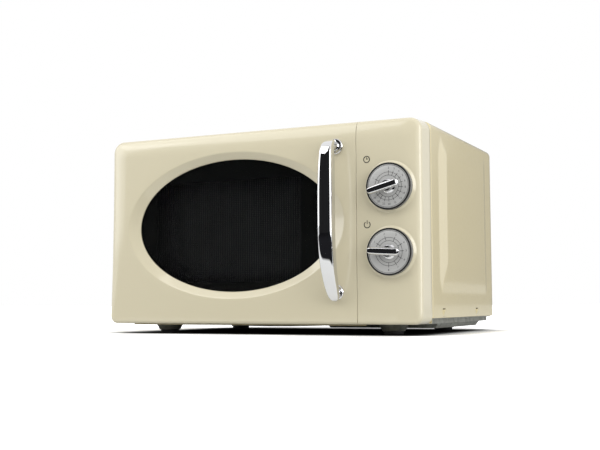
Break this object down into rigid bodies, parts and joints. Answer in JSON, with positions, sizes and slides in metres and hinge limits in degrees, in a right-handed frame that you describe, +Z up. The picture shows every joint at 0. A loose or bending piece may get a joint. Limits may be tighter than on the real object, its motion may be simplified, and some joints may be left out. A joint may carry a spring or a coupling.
{
  "type": "microwave oven",
  "caption": "Countertop microwave oven with an oval-windowed side-hinged door, a bow handle, two rotary controls, a glass turntable and its power, cooling and latch parts.",
  "frame": {"origin": "on the table, under the middle of the whole oven's box", "axes": "+X from the hinge side to the control side, +Y from the door to the back, +Z up"},
  "size_m": [0.44, 0.357, 0.258],
  "materials": {
    "painted_cover": "satin cream paint",
    "painted_front": "satin cream paint",
    "cavity_paint": "grey enamel paint",
    "galvanised": "galvanised sheet",
    "cream_plastic": "satin moulded cream plastic",
    "black_plastic": "matt black plastic",
    "black_glass": "smoked float glass",
    "clear_glass": "clear tempered glass",
    "chrome": "bright chrome plate",
    "dial_silver": "silver printed aluminium",
    "dial_grey": "grey moulded plastic",
    "steel": "zinc-plated steel",
    "white_plastic": "natural nylon",
    "copper": "enamelled copper",
    "iron": "varnished laminated iron",
    "rubber": "moulded rubber",
    "mica": "mica sheet",
    "board": "printed circuit board",
    "can": "drawn aluminium can"
  },
  "bodies": {
    "cabinet": {"outer_cover": "painted_cover", "front_plate": "painted_front", "oven_cavity": "cavity_paint", "cavity_floor": "cavity_paint", "back_panel": "galvanised", "base_plate": "galvanised", "feet": "rubber", "cover_screws": "steel", "cord_gland": "black_plastic", "control_panel": "cream_plastic", "dial_bezels": "dial_grey", "dial_plates": "dial_silver", "control_bracket": "steel", "timer_unit": "white_plastic", "timer_motor": "steel", "power_switch": "white_plastic", "upper_hinge": "steel", "lower_hinge": "steel", "latch_body": "white_plastic", "door_switches": "black_plastic", "waveguide": "galvanised", "mica_cover": "mica", "magnetron_yoke": "galvanised", "magnetron_anode": "copper", "magnetron_magnets": "iron", "magnetron_filter": "galvanised", "transformer_core": "iron", "transformer_windings": "copper", "capacitor": "can", "capacitor_clamp": "steel", "hv_diode": "black_plastic", "fan_shroud": "black_plastic", "fan_motor": "iron", "fan_coil": "copper", "filter_board": "board", "lamp_holder": "steel", "oven_lamp": "clear_glass", "thermal_cutout": "white_plastic", "turntable_motor": "steel"},
    "door": {"door_frame": "cream_plastic", "door_glass": "black_glass", "door_plate": "painted_front", "door_screen": "black_plastic", "choke_cover": "black_plastic", "handle": "chrome", "handle_screws": "steel", "plate_screws": "steel", "latch_spring": "steel"},
    "latch": {"latch_plate": "white_plastic"},
    "timer": {"timer_knob": "chrome", "timer_shaft": "steel"},
    "power": {"power_knob": "chrome", "power_shaft": "steel"},
    "fan": {"fan_blade": "black_plastic"},
    "turntable": {"turntable_coupler": "white_plastic"},
    "tray": {"glass_tray": "clear_glass"},
    "ring": {"roller_ring": "white_plastic"},
    "roller_1": {"roller_1": "white_plastic"},
    "roller_2": {"roller_2": "white_plastic"},
    "roller_3": {"roller_3": "white_plastic"}
  },
  "joints": [
    {"name": "door_hinge", "type": "hinge", "parent": "cabinet", "child": "door", "pos_m": [-0.21, -0.1135, 0.1355], "axis": [0, 0, -1], "range_deg": [0, 95]},
    {"name": "latch_slide", "type": "slide", "parent": "door", "child": "latch", "axis": [0, 0, 1], "range_m": [0, 0.005], "stiffness_N_per_m": 250, "springref_m": -0.003, "deforming": ["latch_spring"]},
    {"name": "timer_turn", "type": "hinge", "parent": "cabinet", "child": "timer", "pos_m": [0.1815, -0.1415, 0.175], "axis": [0, 1, 0], "range_deg": [0, 335]},
    {"name": "power_turn", "type": "hinge", "parent": "cabinet", "child": "power", "pos_m": [0.1815, -0.1415, 0.098], "axis": [0, 1, 0], "range_deg": [0, 270]},
    {"name": "fan_spin", "type": "hinge", "parent": "cabinet", "child": "fan", "pos_m": [0.16535, 0, 0.17], "axis": [0, 1, 0], "continuous": true},
    {"name": "turntable_spin", "type": "hinge", "parent": "cabinet", "child": "turntable", "pos_m": [-0.041, 0.0325, 0.03], "axis": [0, 0, 1], "continuous": true},
    {"name": "tray_lift", "type": "slide", "parent": "turntable", "child": "tray", "axis": [0, 0, 1], "range_m": [0, 0.012]},
    {"name": "ring_spin", "type": "hinge", "parent": "cabinet", "child": "ring", "pos_m": [-0.041, 0.0325, 0.0413], "axis": [0, 0, 1], "continuous": true},
    {"name": "roller_1_spin", "type": "hinge", "parent": "ring", "child": "roller_1", "pos_m": [0.03521, 0.0765, 0.0413], "axis": [0.866, 0.5, 0], "continuous": true},
    {"name": "roller_2_spin", "type": "hinge", "parent": "ring", "child": "roller_2", "pos_m": [-0.11721, 0.0765, 0.0413], "axis": [-0.866, 0.5, 0], "continuous": true},
    {"name": "roller_3_spin", "type": "hinge", "parent": "ring", "child": "roller_3", "pos_m": [-0.041, -0.0555, 0.0413], "axis": [0, -1, 0], "continuous": true}
  ],
  "couplings": [
    {"joint": "ring_spin", "follows": "turntable_spin", "ratio": 0.5},
    {"joint": "roller_1_spin", "follows": "turntable_spin", "ratio": -5.5},
    {"joint": "roller_2_spin", "follows": "turntable_spin", "ratio": -5.5},
    {"joint": "roller_3_spin", "follows": "turntable_spin", "ratio": -5.5}
  ]
}
